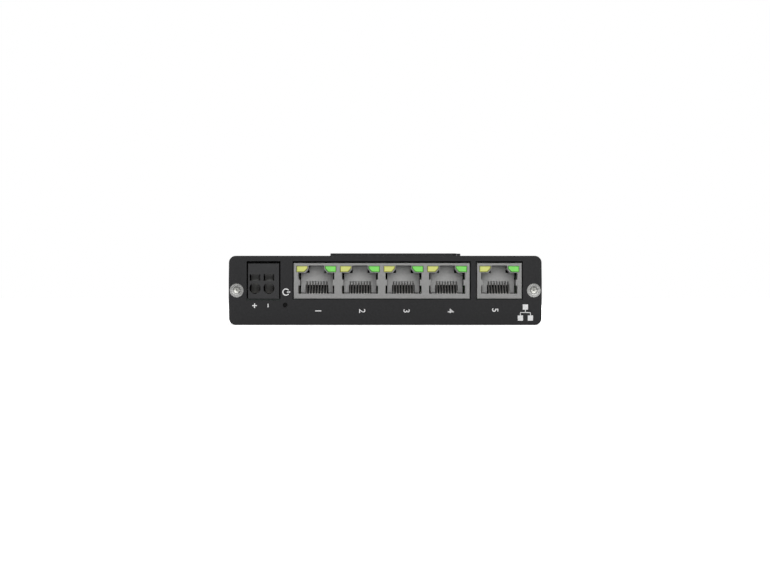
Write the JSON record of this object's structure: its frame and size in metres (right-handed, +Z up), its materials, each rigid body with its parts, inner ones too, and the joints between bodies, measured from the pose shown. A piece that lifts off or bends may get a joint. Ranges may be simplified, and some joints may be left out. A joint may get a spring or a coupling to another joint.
{
  "type": "din rail ethernet switch",
  "caption": "Slim extruded case with a row of network jacks and a push-in power terminal in front, and a folded rail bracket with a spring clip behind.",
  "frame": {"origin": "middle of the footprint, on the broad side that the switch lies on", "axes": "+X along the long side of the front panel, towards port 5; the ports look towards -Y and the rail bracket to +Y; +Z up from the broad side"},
  "size_m": [0.113, 0.0864, 0.0267],
  "materials": {
    "black_anodised_plate": "matt black anodised plate",
    "black_anodised_extrusion": "matt black anodised extrusion",
    "screw_steel": "bright steel",
    "black_screw_steel": "blackened steel",
    "spring_steel": "bare spring steel",
    "black_coated_steel": "matt black powder coat",
    "jack_plastic": "moulded mid grey",
    "insert_plastic": "moulded light grey",
    "blued_spring_steel": "blued spring steel",
    "terminal_plastic": "moulded black",
    "contact_plating": "dull plated strip",
    "busbar_copper": "tinned copper",
    "yellow_lens": "translucent yellow",
    "green_lens": "translucent green",
    "clear_lens": "smoky clear",
    "board_laminate": "dark green solder mask",
    "component_black": "moulded black",
    "can_metal": "plain can"
  },
  "bodies": {
    "root": {"back_plate_screws": "black_screw_steel", "crystal": "can_metal", "extruded_sleeve": "black_anodised_extrusion", "front_panel": "black_anodised_plate", "front_panel_screws": "screw_steel", "input_fuse": "component_black", "line_transformer_1": "component_black", "line_transformer_2": "component_black", "line_transformer_3": "component_black", "line_transformer_4": "component_black", "line_transformer_5": "component_black", "main_circuit_board": "board_laminate", "negative_busbar": "busbar_copper", "negative_clamp_spring": "spring_steel", "port_1_contact_carrier": "insert_plastic", "port_1_green_light": "green_lens", "port_1_yellow_light": "yellow_lens", "port_2_contact_carrier": "insert_plastic", "port_2_green_light": "green_lens", "port_2_yellow_light": "yellow_lens", "port_3_contact_carrier": "insert_plastic", "port_3_green_light": "green_lens", "port_3_yellow_light": "yellow_lens", "port_4_contact_carrier": "insert_plastic", "port_4_green_light": "green_lens", "port_4_yellow_light": "yellow_lens", "port_5_contact_carrier": "insert_plastic", "port_5_green_light": "green_lens", "port_5_yellow_light": "yellow_lens", "positive_busbar": "busbar_copper", "positive_clamp_spring": "spring_steel", "power_inductor": "component_black", "power_light": "clear_lens", "power_terminal_housing": "terminal_plastic", "quad_jack_contacts": "contact_plating", "quad_jack_housing": "jack_plastic", "rail_bracket": "black_coated_steel", "rail_spring": "blued_spring_steel", "rear_panel": "black_anodised_plate", "rear_panel_screws": "screw_steel", "single_jack_contacts": "contact_plating", "single_jack_housing": "jack_plastic", "smoothing_capacitor_1": "can_metal", "smoothing_capacitor_2": "can_metal", "surge_suppressor": "component_black", "switch_chip": "component_black", "voltage_regulator": "component_black"}
  },
  "joints": []
}
